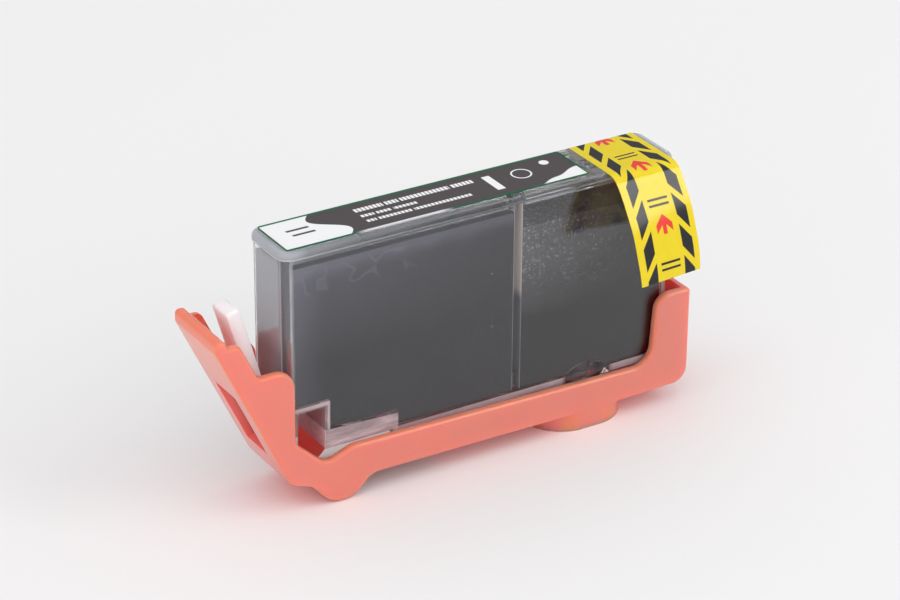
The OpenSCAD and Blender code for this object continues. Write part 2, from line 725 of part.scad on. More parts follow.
module guard() {
    inner = guard_in_w + 2 * join;
    color([0.94, 0.45, 0.38]) difference() {
        union() {
            for (s = [-1, 1]) across(guard_wall, s * (guard_w - guard_wall) / 2) polygon(side_outline());
            across(inner) polygon(wall_band(plate_line, guard_wall));
            across(inner) polygon(rounded([
                [-wing_x, plate_low[1] + lip_r, 0], [-wing_x + lip_t, plate_low[1] + lip_r, 0],
                [-wing_x + lip_t, wing_z, tip_r], [-wing_x, wing_z, tip_r]]));
            across(inner) polygon(wall_band(
                [[-guard_floor_l, rail_z, 0], [guard_end, rail_z, guard_corner_r], [guard_end, upright_z, 0]], guard_wall));
            boss_plan(0, rail_z + join);
            for (x = [-guard_floor_l, tank_x1 - 2 * heel_r - rib_t])
                block(x, x + rib_t, inner, rail_z + join, tank_base_z);
        }
        translate([0, 0, boss_floor]) cylinder(d = pocket_d, h = tank_base_z);
        translate([-wing_x, 0, plate_low[1]]) rotate([0, -plate_lean, 0]) translate([-2 * guard_wall, 0, 0])
            block(0, 4 * guard_wall, window_w, -window_drop - window_l, -window_drop);
    }
}

module guard_seal() {
    color([0.2, 0.2, 0.21]) difference() {
        translate([0, 0, boss_floor]) cylinder(d = seal_d, h = port_z + seal_lip_h - boss_floor);
        translate([0, 0, port_z]) cylinder(d = port_d + 2 * seal_gap, h = seal_lip_h + join);
        translate([0, 0, port_z - seal_lip_h]) cylinder(d = port_bore - 1, h = seal_lip_h + join);
    }
}

tank();
lid();
ink_fill();
foam_upper();
foam_lower();
outlet_wick();
fill_plug();
label();
label_field();
label_rule();
label_bars();
pull_tape();
tape_chevrons();
tape_arrows();
tape_bars();
chip_board();
chip_contacts();
chip_resin();
chip_led();
guard();
guard_seal();
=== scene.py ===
import math

import bpy
from mathutils import Matrix, Vector


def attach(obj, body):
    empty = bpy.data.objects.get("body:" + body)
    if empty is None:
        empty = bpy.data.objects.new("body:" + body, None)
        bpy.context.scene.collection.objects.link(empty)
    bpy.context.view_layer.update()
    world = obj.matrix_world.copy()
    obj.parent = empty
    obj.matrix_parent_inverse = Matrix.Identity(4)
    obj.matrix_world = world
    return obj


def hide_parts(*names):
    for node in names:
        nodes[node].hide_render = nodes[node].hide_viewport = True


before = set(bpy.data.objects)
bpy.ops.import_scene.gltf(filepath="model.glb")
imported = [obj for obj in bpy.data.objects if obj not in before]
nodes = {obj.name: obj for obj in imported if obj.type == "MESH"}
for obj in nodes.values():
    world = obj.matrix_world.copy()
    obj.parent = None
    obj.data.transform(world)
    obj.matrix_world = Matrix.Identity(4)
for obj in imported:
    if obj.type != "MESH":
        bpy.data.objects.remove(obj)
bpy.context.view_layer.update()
MM = 0.001

# Sizes of the part, in millimetres, as in its source
TANK_X0, TANK_X1, END_WALL, SEAM_Z, LID_Z = -51.25, 14.55, 1.6, 39.7, 41.0
DIVIDER_X0, DIVIDER_X1, CAVITY_W = -13.1, -11.85, 8.5
FLOOR_Z, RAISED_FLOOR_Z, RAISED_X1, NOTCH_X0, NOTCH_X1, NOTCH_Z = 8.85, 11.55, -32.85, -44.9, -44.1, 16.2
CORNER_X, CORNER_Y, TANK_SIDE_Y, FLOOR_SLOPE = -49.95, -3.8, -4.7, 0.045
GUARD_W, OUTLET_R = 13.0, 4.2
LABEL_X0, LABEL_L, LABEL_W, LABEL_T = -50.2, 50.0, 8.6, 0.1
TAPE_X, TAPE_W, TAPE_T = 2.2, 11.1, 0.12
TAPE_BACK_Y, TAPE_TOP_Z, TAPE_TURN_R = 5.32, 41.02, 0.82
TAPE_BACK_L, TAPE_FLAT = 15.1, 10.3
TAPE_BEND_R, TAPE_BEND_TURN, TAPE_CURL_R, TAPE_CURL_TURN = 3.1, 48, 27.2, 32
BEND_L, CURL_L = TAPE_BEND_R * math.radians(TAPE_BEND_TURN), TAPE_CURL_R * math.radians(TAPE_CURL_TURN)
# Length by which the print is squeezed together in the bend of the tape
PRINT_CREEP = 0.75
# Print on the tape: its middle line, both edges of a lane, and the step from one chevron to the next
PRINT_MID, LANE_IN, LANE_OUT, CHEVRON_PITCH = 5.65, 2.55, 4.45, 4.72
ARROW_PITCH = 2 * CHEVRON_PITCH
# Heights up to which the tank is painted with pink light from the guard, the divider is soaked, and the end
# wall stays clearer, as painted shade where the guard is reflected in it
GUARD_PINK_LIGHT_Z, SOAKED_Z, END_CLEAR_Z = 17, 24.5, 26
# Camera, worked out from the photograph: turns in degrees, place in millimetres, focal length in pixels
CAMERA_TURNS, CAMERA_AT = (-31.71, 27.16, 0.484), (-237.45, -350.15, 235.17)
FOCAL_PX, PHOTO_W, SENSOR_W = 3182.56, 900, 36.0

# Rows of bars on the label: middle and half height across it, start and end along it, gaps between words
LABEL_ROWS = [
    (0.73, 0.060, 14.2, 33.9, (18.9, 21.4, 29.9)),
    (0.50, 0.042, 14.2, 23.4, (16.4, 19.2)),
    (0.30, 0.042, 14.2, 31.6, (15.8, 21.6)),
]


# Shader maths
class Value:
    """A socket of a material's node tree that can be used in plain arithmetic."""

    def __init__(self, tree, socket):
        self.tree, self.socket = tree, socket

    def node(self, kind, settings=None, inputs=None, out=0):
        """Adds a node with its settings and its sockets' values or links."""
        made = self.tree.nodes.new("ShaderNode" + kind)
        for name, value in (settings or {}).items():
            if name == "stops":
                ramp = made.color_ramp
                while len(ramp.elements) < len(value):
                    ramp.elements.new(0.5)
                for stop, (place, colour) in zip(ramp.elements, value):
                    stop.position, stop.color = place, colour
            else:
                setattr(made, name, value)
        for name, value in (inputs or {}).items():
            if isinstance(value, Value):
                self.tree.links.new(value.socket, made.inputs[name])
            else:
                made.inputs[name].default_value = value
        return Value(self.tree, made.outputs[out])

    def maths(self, operation, *others):
        return self.node("Math", {"operation": operation}, dict(enumerate((self, *others))))

    def __add__(self, other):
        return self.maths("ADD", other)

    def __sub__(self, other):
        return self.maths("SUBTRACT", other)

    def __rsub__(self, other):
        return self.node("Math", {"operation": "SUBTRACT"}, {0: other, 1: self})

    def __mul__(self, other):
        return self.maths("MULTIPLY", other)

    def __truediv__(self, other):
        return self.maths("DIVIDE", other)

    def __abs__(self):
        return self.maths("ABSOLUTE")

    __radd__, __rmul__ = __add__, __mul__

    def fract(self):
        return self.maths("FRACT")

    def sin(self):
        return self.maths("SINE")

    def clamp(self):
        return self.node("Clamp", None, {0: self})

    def below(self, limit, soft=0.03):
        """1 where this value is under the limit, 0 above it, with a soft step."""
        return ((limit - self) / soft + 0.5).clamp()

    def between(self, low, high, soft=0.03):
        return self.below(high, soft) * (1 - self.below(low, soft))

    def mix(self, first, second):
        """The first colour where this mask is 0 and the second where it is 1."""
        return self.node("Mix", {"data_type": "RGBA"}, {0: self, 6: first, 7: second}, 2)


def rgb(red, green, blue):
    return (red, green, blue, 1.0)


class Finish:
    """A material on the Principled shader, with its place on the surface in millimetres."""

    def __init__(self, name, flat=False, **fixed):
        self.material = bpy.data.materials.new(name)
        self.material.use_nodes = True
        tree = self.material.node_tree
        self.shader = tree.nodes["Principled BSDF"]
        for socket, value in fixed.items():
            self.shader.inputs[socket.replace("_", " ")].default_value = value
        coordinates = tree.nodes.new("ShaderNodeTexCoord")
        start = Value(tree, coordinates.outputs["UV" if flat else "Object"])
        if flat:
            self.place = start
        else:
            self.place = start.node("VectorMath", {"operation": "SCALE"}, {0: start, "Scale": 1 / MM})
        parts = self.place.node("SeparateXYZ", None, {0: self.place})
        outputs = parts.socket.node.outputs
        self.x, self.y, self.z = (Value(tree, outputs[i]) for i in range(3))
        self.tree = tree

    def noise(self, scale, detail=3.0, roughness=0.55, stretch=None):
        place = self.place
        if stretch:
            place = place.node("Mapping", None, {0: place, "Scale": stretch})
        return self.place.node("TexNoise", None, {
            "Vector": place, "Scale": scale, "Detail": detail, "Roughness": roughness})

    def cells(self, scale, feature="F1"):
        return self.place.node("TexVoronoi", {"feature": feature}, {"Vector": self.place, "Scale": scale})

    def feed(self, **sockets):
        for socket, value in sockets.items():
            self.tree.links.new(value.socket, self.shader.inputs[socket.replace("_", " ")])
        return self

    def veil(self, share, colour, roughness=0.35):
        """Lays a milky layer over the shader, as thick as the share says."""
        milk = self.place.node("BsdfPrincipled", None, {
            "Base Color": colour, "Roughness": roughness, "Subsurface Weight": 1.0,
            "Subsurface Radius": (1.0, 0.9, 0.9), "Subsurface Scale": 2.5 * MM})
        clear = Value(self.tree, self.shader.outputs[0])
        mixed = self.place.node("MixShader", None, {0: share, 1: clear, 2: milk})
        self.tree.links.new(mixed.socket, self.tree.nodes["Material Output"].inputs["Surface"])

    def bump(self, height, strength, distance=0.1):
        normal = height.node("Bump", None, {
            "Height": height, "Strength": strength, "Distance": distance * MM})
        return self.feed(Normal=normal)


def guard_finish():
    """Pinkish flat sides, a lighter orange off the flat sides as a painted highlight of the rounded rim
    edges and tops, and a deeper red painted as shade on the inner faces, standing in for the light that
    comes through the walls.
    """
    f = Finish("salmon moulded plastic", Specular_IOR_Level=0.6, Coat_Weight=0.5, Coat_Roughness=0.16,
               Subsurface_Weight=1.0, Subsurface_Radius=(1.0, 0.16, 0.12), Subsurface_Scale=3.5 * MM)
    cloud = f.noise(0.12, 2)
    grain = f.noise(5.0, 4)
    scuff = f.noise(0.9, 5, 0.7, (1.0, 1.0, 0.15))
    side = (cloud * 0.6 + grain * 0.2).mix(rgb(0.95, 0.205, 0.15), rgb(0.97, 0.235, 0.175))
    # Painted highlight: everywhere off the flat outer sides takes a lighter orange, standing in for the
    # light that the rounded rim edges and tops catch.
    painted_rim_highlight = abs(f.y).below(GUARD_W / 2 - 0.05, 0.08)
    # Painted shade: low down between the walls, the shaded inner faces take a deeper red, standing in for
    # the light that comes through the red walls.
    inner = abs(f.y).below(GUARD_W / 2 - 1.0, 0.3) * f.z.below(21, 3)
    tone = inner.mix(painted_rim_highlight.mix(side, rgb(0.99, 0.225, 0.125)), rgb(1.0, 0.20, 0.17))
    f.feed(Base_Color=tone, Roughness=0.28 + cloud * 0.08 + scuff.between(0.6, 0.75, 0.05) * 0.06)
    f.bump(grain * 0.6 + cloud * 3, 0.08, 0.02)
    return f.material


def tank_finish():
    """Clear plastic, milkier where it is thick or has no ink behind it, and stained on the divider; painted
    pink light from the guard low down, painted light in the notch, painted highlight lines on the near
    corner, a painted sheen high on the right, an end wall whose milk is partly a painted sheen, and a
    divider whose pale milk above the ink is painted light.
    """
    f = Finish("clear tank plastic", IOR=1.47, Transmission_Weight=1.0)
    cloud = f.noise(0.16, 3)
    grain = f.noise(3.0, 4)
    corner = f.y.below(CORNER_Y, 0.1) * f.x.below(CORNER_X, 0.1)
    # Milkier end wall: partly its own haze, partly a painted sheen for the lighter look of the wall seen at
    # a grazing angle; less milky low down, as painted shade where the guard is reflected darker in it.
    end = f.x.below(TANK_X0 + END_WALL, 0.1) * (1 - f.y.below(CORNER_Y, 0.1))
    end = end * (0.26 - f.z.below(END_CLEAR_Z, 3) * 0.09)
    # Painted highlight: thin milky lines along the tank's near corner, standing in for the light on its
    # rounded edges.
    painted_corner_highlight = (f.y.between(CORNER_Y - 0.16, CORNER_Y + 0.04, 0.1) * f.x.below(TANK_X0 + 0.25, 0.1)
             + f.x.between(CORNER_X - 0.15, CORNER_X + 0.2, 0.35) * f.y.below(TANK_SIDE_Y, 0.1))
    painted_corner_highlight = painted_corner_highlight * f.z.between(GUARD_PINK_LIGHT_Z, SEAM_Z)
    lever = f.x.below(TANK_X0 - 0.1, 0.2) * 0.85
    outlet_end = (1 - f.x.below(TANK_X1 - END_WALL, 0.1)) * 0.25
    streak = f.noise(0.9, 3, 0.6, (0.3, 1.0, 2.5)).between(0.5, 2, 0.3)
    base = f.z.below(FLOOR_Z, 0.1) * (1 - abs(f.x).below(OUTLET_R, 0.8) * 0.9) * 0.44
    slope = f.z + (f.x - NOTCH_X1) * FLOOR_SLOPE
    raised = slope.below(RAISED_FLOOR_Z, 0.1) * f.x.below(RAISED_X1, 0.1)
    raised = raised * (1 - f.z.below(FLOOR_Z, 0.1)) * 0.36
    thick = f.z.below(RAISED_FLOOR_Z, 0.1) * f.x.below(RAISED_X1, 0.1) * (streak * 0.16 - 0.04)
    toe = f.z.below(RAISED_FLOOR_Z, 0.1) * f.x.below(NOTCH_X0 + 0.05, 0.1) * 0.22
    # Painted light: the notch is made milkier, standing in for the light that comes through the clear
    # plastic there.
    notch = f.x.below(NOTCH_X1, 0.1) * f.z.between(RAISED_FLOOR_Z, NOTCH_Z, 0.1) * 0.2
    edge = (f.x.between(NOTCH_X1 - 0.4, NOTCH_X1, 0.15) * f.z.below(NOTCH_Z, 0.1)
            + f.x.below(NOTCH_X1, 0.1) * f.z.between(NOTCH_Z - 0.6, NOTCH_Z, 0.15)).clamp()
    edge = edge * f.z.between(RAISED_FLOOR_Z + 0.05, GUARD_PINK_LIGHT_Z)
    inside = abs(f.y).below(CAVITY_W / 2 + 0.02, 0.02) * f.z.between(FLOOR_Z + 0.1, SEAM_Z, 0.1)
    # The divider's faces: darker low down with soaked-in ink, a real stain; pale and milky higher up,
    # painted light standing in for the light that the clear divider carries.
    divider_stain_and_light = f.x.between(DIVIDER_X0 - 0.1, DIVIDER_X1 + 0.1, 0.05) * inside
    # Painted sheen: a faint milky lightening high on the right of the tank wall.
    painted_wall_sheen = ((f.x + 2) / 5).clamp() * ((f.z - 29) / 4).clamp() * 0.03
    milk = (end + corner * 0.05 + painted_corner_highlight * 0.26 + lever + outlet_end + base + raised + thick + toe
            + notch + edge * 0.3 + divider_stain_and_light * 0.95 + painted_wall_sheen).clamp()
    dark = divider_stain_and_light * f.z.below(SOAKED_Z, 1.5)
    # Painted light: below the guard's rim the milk turns pink, standing in for the red light from the guard.
    tone = f.z.below(GUARD_PINK_LIGHT_Z, 3).mix(rgb(0.84, 0.86, 0.94), rgb(0.98, 0.64, 0.67))
    tone = (lever * 2).mix(tone, rgb(1.0, 0.84, 0.86))
    tone = divider_stain_and_light.mix(tone, rgb(1.0, 0.90, 0.86))
    tone = dark.mix(tone, rgb(0.34, 0.34, 0.37))
    f.feed(Base_Color=cloud.mix(rgb(0.95, 0.95, 0.97), rgb(0.98, 0.98, 1.0)),
           Roughness=0.006 + grain * 0.006)
    f.bump(cloud * 3, 0.03, 0.05)
    f.veil(milk, tone)
    return f.material


def lid_finish():
    """Clear plastic with faint streaks, milkier at both ends and along the seam, where the milky line is a
    painted highlight.
    """
    f = Finish("clear lid plastic", IOR=1.45, Transmission_Weight=1.0)
    cloud = f.noise(0.3, 3)
    streak = f.noise(0.6, 3, 0.6, (0.25, 1.0, 2.0))
    # Painted highlight: the milky line along the seam stands in for the bright line that catches the light
    # there.
    seam = f.z.between(SEAM_Z - 0.1, SEAM_Z + 0.25, 0.1)
    left = 1 - ((f.x - TANK_X0) / 34).clamp()
    right = ((f.x - 0.5) / 1.5).clamp()
    far = (f.x - TANK_X1 + END_WALL).clamp()
    milk = (left * left * 0.22 + f.x.below(TANK_X0 + 2.5, 3.0) * 0.2 + right * 0.14 + far * 0.3
            + cloud * 0.08 + seam * (0.12 + left * 0.2)).clamp()
    f.feed(Base_Color=cloud.mix(rgb(0.95, 0.95, 0.97), rgb(0.98, 0.98, 1.0)), Roughness=0.14 + streak * 0.08)
    f.bump(streak * 2 + cloud * 3, 0.06, 0.04)
    f.veil(milk, rgb(0.76, 0.79, 0.86))
    return f.material


def ink_finish():
    """Nearly black, with dried loops under the lid, bright specks by the divider, paler above its level, and
    a painted sheen that lightens it towards the top and the left end.
    """
    f = Finish("black ink", Specular_IOR_Level=0.15)
    wave = f.noise(0.16, 2, 0.5, (1.0, 0.3, 0.6))
    level = f.z + (wave - 0.5) * 2.4
    loops = abs(f.noise(0.2, 1) - 0.5).below(0.016, 0.02) * f.z.between(33.5, 37.3, 0.8) * f.x.below(-30, 6)
    specks = f.cells(0.6).between(-1, 0.09, 0.05) * f.z.between(17, 32, 3) * f.x.between(-19.5, -13.8, 1.5)
    above = ((level - 34.6) / 2.6).clamp()
    # Painted sheen: the ink is made lighter towards the top and towards the left end, standing in for the
    # light reflected in the tank wall over it.
    painted_ink_sheen = ((f.z - 22) / 18).clamp() * (1 - ((f.x + 50) / 50).clamp()) + f.x.below(-47, 5) * 0.5
    tone = (loops * 0.22 + specks * 0.9 + above * above * 0.36 + painted_ink_sheen * 0.6).clamp()
    f.feed(Base_Color=tone.mix(rgb(0.008, 0.008, 0.013), rgb(0.24, 0.24, 0.29)),
           Roughness=0.3 + f.noise(0.3, 2) * 0.15)
    f.bump(loops + specks, 0.2, 0.05)
    return f.material


def foam_finish(name):
    """Soaked and smooth below, drier with light flecks towards the divider and the lid."""
    f = Finish(name, Specular_IOR_Level=0.15)
    pores = f.cells(2.2)
    blot = f.noise(0.35, 4, 0.6)
    dry = ((f.z - 20) / 10).clamp() * (1 - ((f.x + 12) / 24).clamp() * 0.85)
    patch = (f.noise(0.4, 3, 0.6) + dry * 0.35 - 0.1).between(0.5, 3, 0.1)
    flecks = f.cells(1.3).between(-1, 0.16, 0.12) * patch * dry
    upright = f.noise(1.5, 4, 0.7, (1.6, 1.6, 0.6)).between(0.60, 2, 0.06)
    level = f.noise(1.7, 4, 0.7, (0.6, 1.6, 1.6)).between(0.61, 2, 0.06)
    tone = (blot * dry * 0.08 + dry * 0.13 + flecks * 0.34 + (upright + level) * patch * dry * 0.24).clamp()
    f.feed(Base_Color=tone.mix(rgb(0.006, 0.006, 0.007), rgb(0.85, 0.85, 0.87)), Roughness=0.5 + pores * 0.3)
    f.bump(pores * dry, 0.4, 0.1)
    return f.material


def label_finish():
    """White end with a wavy border, dark field, green rule, and bars in the place of words."""
    f = Finish("printed label", Specular_IOR_Level=0.3)
    along = f.x - LABEL_X0
    across = f.y / LABEL_W + 0.5
    fibre = f.noise(4.0, 4)
    border = 10.2 - across * 2.2 + (across * 6.2832).sin() * 1.7
    white_end = ((border - along) / 0.08 + 0.5).clamp()
    bars = None
    for middle, half, start, end, words in LABEL_ROWS:
        bar = across.between(middle - half, middle + half, 0.02) * along.between(start, end, 0.08)
        for word in words:
            bar = bar * (1 - along.between(word, word + 0.4, 0.08))
        letters = (along / 0.62).fract().between(0.0, 0.78, 0.12)
        bar = bar * letters
        bars = bar if bars is None else bars + bar
    notice = along.between(35.6, 36.9, 0.08) * across.between(0.22, 0.78, 0.02)
    from_spot = ((along - 46.3) * (along - 46.3) + (f.y - 2.2) * (f.y - 2.2)).maths("SQRT")
    from_ring = ((along - 41.4) * (along - 41.4) + (f.y - 0.6) * (f.y - 0.6)).maths("SQRT")
    spot = from_spot.below(0.75, 0.08)
    ring = from_ring.between(1.35, 1.6, 0.08)
    wedge = (along - 41.5) * 0.045 - ((along - 45.2) * 1.4).sin() * 0.02
    corner = ((wedge - across) / 0.02 + 0.5).clamp() * along.between(41.5, 99, 0.08)
    note = (along + across * 1.5).between(3.6, 7.2, 0.08) * (
        across.between(0.58, 0.64, 0.02) + across.between(0.40, 0.46, 0.02))
    white = (white_end * (1 - note) + bars + notice + spot + ring + corner).clamp()
    rule = (along.below(0.14, 0.04) + along.between(LABEL_L - 0.12, 99, 0.04)
            + across.between(0.984, 2, 0.006) + across.below(0.010, 0.006)).clamp()
    sliver = across.below(0.035, 0.012) * along.between(12.0, 26.0, 2.0)
    ink = white.mix(rgb(0.072, 0.060, 0.062), rgb(0.88, 0.88, 0.88))
    ink = sliver.mix(rule.mix(ink, rgb(0.012, 0.15, 0.065)), rgb(0.86, 0.86, 0.86))
    f.feed(Base_Color=ink, Roughness=0.5 + fibre * 0.12)
    f.bump(fibre, 0.08, 0.03)
    return f.material


def tape_finish():
    """Yellow film with two lanes of black chevrons, red arrows, and bars in the place of words."""
    f = Finish("yellow printed film", flat=True, Specular_IOR_Level=0.4, Subsurface_Weight=0.5,
               Subsurface_Radius=(1.0, 0.9, 0.4), Subsurface_Scale=0.2 * MM)
    across = abs(f.x - PRINT_MID)
    back = f.y
    lane = across.between(LANE_IN, LANE_OUT, 0.05)
    swept = (back + (across - LANE_IN) * 1.26 + 0.45 + CHEVRON_PITCH) / CHEVRON_PITCH
    chevron = lane * swept.fract().between(0.0, 0.71, 0.012)
    turn = ((back - 6.65) / ARROW_PITCH).fract() * ARROW_PITCH
    head = (turn + across * 1.05).between(1.75, 3.0, 0.05) * across.below(1.45, 0.05)
    shaft = across.below(0.36, 0.05) * turn.between(0.0, 2.2, 0.05)
    arrow = (head + shaft).clamp()
    word = ((back - 1.3) / ARROW_PITCH).fract() * ARROW_PITCH
    letters = across.below(1.75, 0.05) * (word.between(0.1, 0.45, 0.05) + word.between(1.0, 1.35, 0.05))
    creases = f.noise(0.5, 3, 0.55)
    dust = f.noise(6.0, 3)
    yellow = creases.mix(rgb(0.78, 0.60, 0.006), rgb(0.82, 0.65, 0.010))
    printed = arrow.mix(yellow, rgb(0.80, 0.045, 0.035))
    printed = (chevron + letters).clamp().mix(printed, rgb(0.012, 0.012, 0.014))
    f.feed(Base_Color=printed, Roughness=0.10 + dust * 0.08)
    f.bump(creases * 4 + dust * 0.1, 0.07, 0.05)
    return f.material


def plain_finish(name, first, second, roughness, grain=3.0, strength=0.1, **fixed):
    """One colour with a soft cloud and a fine grain, for the small pieces."""
    f = Finish(name, **fixed)
    cloud = f.noise(0.4, 3)
    fine = f.noise(grain, 4)
    f.feed(Base_Color=(cloud * 0.5 + fine * 0.5).mix(rgb(*first), rgb(*second)),
           Roughness=roughness + fine * 0.12)
    f.bump(fine, strength, 0.05)
    return f.material


def board_finish():
    """Pale solder mask with tracks that show through."""
    f = Finish("solder mask", Specular_IOR_Level=0.5, Coat_Weight=0.3)
    tracks = (f.y / 0.7).fract().between(0.3, 0.7, 0.06) * (f.x / 3.1).fract().between(0.15, 0.9, 0.04)
    fine = f.noise(3.0, 3)
    f.feed(Base_Color=(tracks * 0.7 + fine * 0.3).mix(rgb(0.60, 0.54, 0.52), rgb(0.50, 0.45, 0.43)),
           Roughness=0.3 + fine * 0.15)
    f.bump(tracks, 0.3, 0.02)
    return f.material


def floor_finish():
    """Plain pale paper floor."""
    f = Finish("pale floor", Specular_IOR_Level=0.2)
    cloud = f.noise(0.004, 2)
    f.feed(Base_Color=cloud.mix(rgb(0.86, 0.85, 0.845), rgb(0.89, 0.885, 0.88)),
           Roughness=0.75 + cloud * 0.1)
    return f.material


# Modelling helpers
def select_none():
    bpy.ops.object.select_all(action="DESELECT")


def work_on(piece):
    select_none()
    piece.select_set(True)
    bpy.context.view_layer.objects.active = piece


def apply_modifiers(piece):
    work_on(piece)
    for modifier in list(piece.modifiers):
        bpy.ops.object.modifier_apply(modifier=modifier.name)


def settle(piece, name, material):
    """Puts the piece's place into its mesh, names it and makes it ride on the part."""
    work_on(piece)
    bpy.ops.object.transform_apply(location=True, rotation=True, scale=True)
    piece.name = piece.data.name = name
    piece.data.materials.clear()
    piece.data.materials.append(material)
    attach(piece, "root")
    return piece


def merged_copy(node):
    """A copy of a CAD node's mesh, with its loose triangles joined and its flat faces made whole."""
    piece = bpy.data.objects.new(node + " copy", nodes[node].data.copy())
    bpy.context.scene.collection.objects.link(piece)
    work_on(piece)
    bpy.ops.object.mode_set(mode="EDIT")
    bpy.ops.mesh.select_all(action="SELECT")
    bpy.ops.mesh.remove_doubles(threshold=0.002 * MM)
    bpy.ops.mesh.dissolve_limited(angle_limit=math.radians(0.6))
    bpy.ops.object.mode_set(mode="OBJECT")
    if piece.data.has_custom_normals:
        bpy.ops.mesh.customdata_custom_splitnormals_clear()
    return piece


def soften(piece, width, segments=3, angle=32):
    """Rounds the sharp edges and smooths the shading between them."""
    rounding = piece.modifiers.new("rounding", "BEVEL")
    rounding.width, rounding.segments = width * MM, segments
    rounding.limit_method, rounding.angle_limit = "ANGLE", math.radians(angle)
    rounding.use_clamp_overlap = True
    rounding.harden_normals = False
    apply_modifiers(piece)
    bpy.ops.object.shade_smooth_by_angle(angle=math.radians(40))
    flats = piece.modifiers.new("flat faces", "WEIGHTED_NORMAL")
    flats.mode, flats.keep_sharp = "FACE_AREA", True
    apply_modifiers(piece)


def round_edges(piece, width, chosen, segments=4, angle=30):
    """Rounds the sharp edges whose two ends, in millimetres, both pass the test."""
    mesh = piece.data
    normals = {}
    for face in mesh.polygons:
        for key in face.edge_keys:
            normals.setdefault(key, []).append(face.normal.copy())
    work_on(piece)
    bpy.ops.object.mode_set(mode="EDIT")
    bpy.ops.mesh.select_mode(type="EDGE")
    bpy.ops.mesh.select_all(action="DESELECT")
    bpy.ops.object.mode_set(mode="OBJECT")
    for edge in mesh.edges:
        pair = normals.get(edge.key, [])
        sharp = len(pair) == 2 and pair[0].angle(pair[1], 0) > math.radians(angle)
        edge.select = sharp and all(chosen(mesh.vertices[i].co / MM) for i in edge.vertices)
    bpy.ops.object.mode_set(mode="EDIT")
    bpy.ops.mesh.bevel(offset=width * MM, segments=segments, affect="EDGES", clamp_overlap=False)
    bpy.ops.object.mode_set(mode="OBJECT")


def tape_stations():
    """Places [y, z, heading] along the tape's inner face, with the length run so far."""
    y, z, heading, run = TAPE_BACK_Y, TAPE_TOP_Z - TAPE_TURN_R - TAPE_BACK_L, 90.0, 0.0
    stations = [(y, z, heading, run)]
    for length, turn, steps in [
            (TAPE_BACK_L, 0, 10), (TAPE_TURN_R * math.pi / 2, 90, 10), (TAPE_FLAT, 0, 12),
            (BEND_L, TAPE_BEND_TURN, 10), (CURL_L, TAPE_CURL_TURN, 24)]:
        for _ in range(steps):
            middle = math.radians(heading + turn / steps / 2)
            half = math.radians(turn / steps / 2)
            chord = length / steps * (math.sin(half) / half if turn else 1)
            y, z = y + chord * math.cos(middle), z + chord * math.sin(middle)
            heading, run = heading + turn / steps, run + length / steps
            stations.append((y, z, heading, run))
    return stations


def make_tape():
    """A film that follows its stations, slightly twisted at the free end."""
    stations = tape_stations()
    whole = stations[-1][3]
    columns = 12
    bpy.ops.mesh.primitive_grid_add(x_subdivisions=columns, y_subdivisions=len(stations) - 1, size=1)
    film = bpy.context.object
    uv = film.data.uv_layers.active.data
    rows = len(stations)
    for index, point in enumerate(film.data.vertices):
        row, column = divmod(index, columns + 1)
        side = column / columns
        y, z, heading, run = stations[row]
        out = Vector((0, math.sin(math.radians(heading)), -math.cos(math.radians(heading))))
        free = max(0.0, (run - (whole - 17)) / 17)
        ripple = 0.05 * math.sin(run * 0.9 + side * 2) * min(1, free * 4)
        lift = 0.02 + (0.5 - side) * 1.1 * free ** 1.5 + ripple
        if free == 0:
            lift = 0.0
        point.co = (Vector((TAPE_X + side * TAPE_W, y, z)) + out * lift) * MM
    for loop, spot in zip(film.data.loops, uv):
        row, column = divmod(loop.vertex_index, columns + 1)
        free = whole - stations[row][3]
        creep = PRINT_CREEP * min(1, max(0, (free - CURL_L) / BEND_L))
        spot.uv = (column / columns * TAPE_W, free - creep)
    thick = film.modifiers.new("thickness", "SOLIDIFY")
    thick.thickness, thick.offset = TAPE_T * MM, 1.0
    apply_modifiers(film)
    work_on(film)
    bpy.ops.object.mode_set(mode="EDIT")
    bpy.ops.mesh.select_all(action="SELECT")
    bpy.ops.mesh.normals_make_consistent(inside=False)
    bpy.ops.object.mode_set(mode="OBJECT")
    bpy.ops.object.shade_smooth_by_angle(angle=math.radians(50))
    settle(film, "pull_film", tape_finish())
    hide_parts("pull_tape", "tape_chevrons", "tape_arrows", "tape_bars")
    return film


def make_label():
    """A thin sheet with small round corners."""
    middle = Vector((LABEL_X0 + LABEL_L / 2, 0, LID_Z + LABEL_T / 2)) * MM
    select_none()
    bpy.ops.mesh.primitive_cube_add(size=MM, location=middle)
    sheet = bpy.context.object
    sheet.scale = (LABEL_L, LABEL_W, LABEL_T)
    bpy.ops.object.transform_apply(location=False, rotation=False, scale=True)
    bpy.ops.object.mode_set(mode="EDIT")
    bpy.ops.mesh.select_all(action="DESELECT")
    bpy.ops.object.mode_set(mode="OBJECT")
    for edge in sheet.data.edges:
        a, b = (sheet.data.vertices[i].co for i in edge.vertices)
        edge.select = abs(a.z - b.z) > 0.5 * LABEL_T * MM
    bpy.ops.object.mode_set(mode="EDIT")
    bpy.ops.mesh.select_mode(type="EDGE")
    bpy.ops.mesh.bevel(offset=0.25 * MM, segments=4)
    bpy.ops.object.mode_set(mode="OBJECT")
    soften(sheet, 0.02, 2)
    settle(sheet, "top_label", label_finish())
    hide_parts("label", "label_field", "label_rule", "label_bars")
    return sheet


def make_softened(node, name, width, material, segments=3, first=None):
    """Dresses a CAD node: its copy is softened, and takes the node's place in the render."""
    piece = merged_copy(node)
    if first:
        round_edges(piece, *first)
    soften(piece, width, segments)
    settle(piece, name, material)
    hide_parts(node)
    return piece


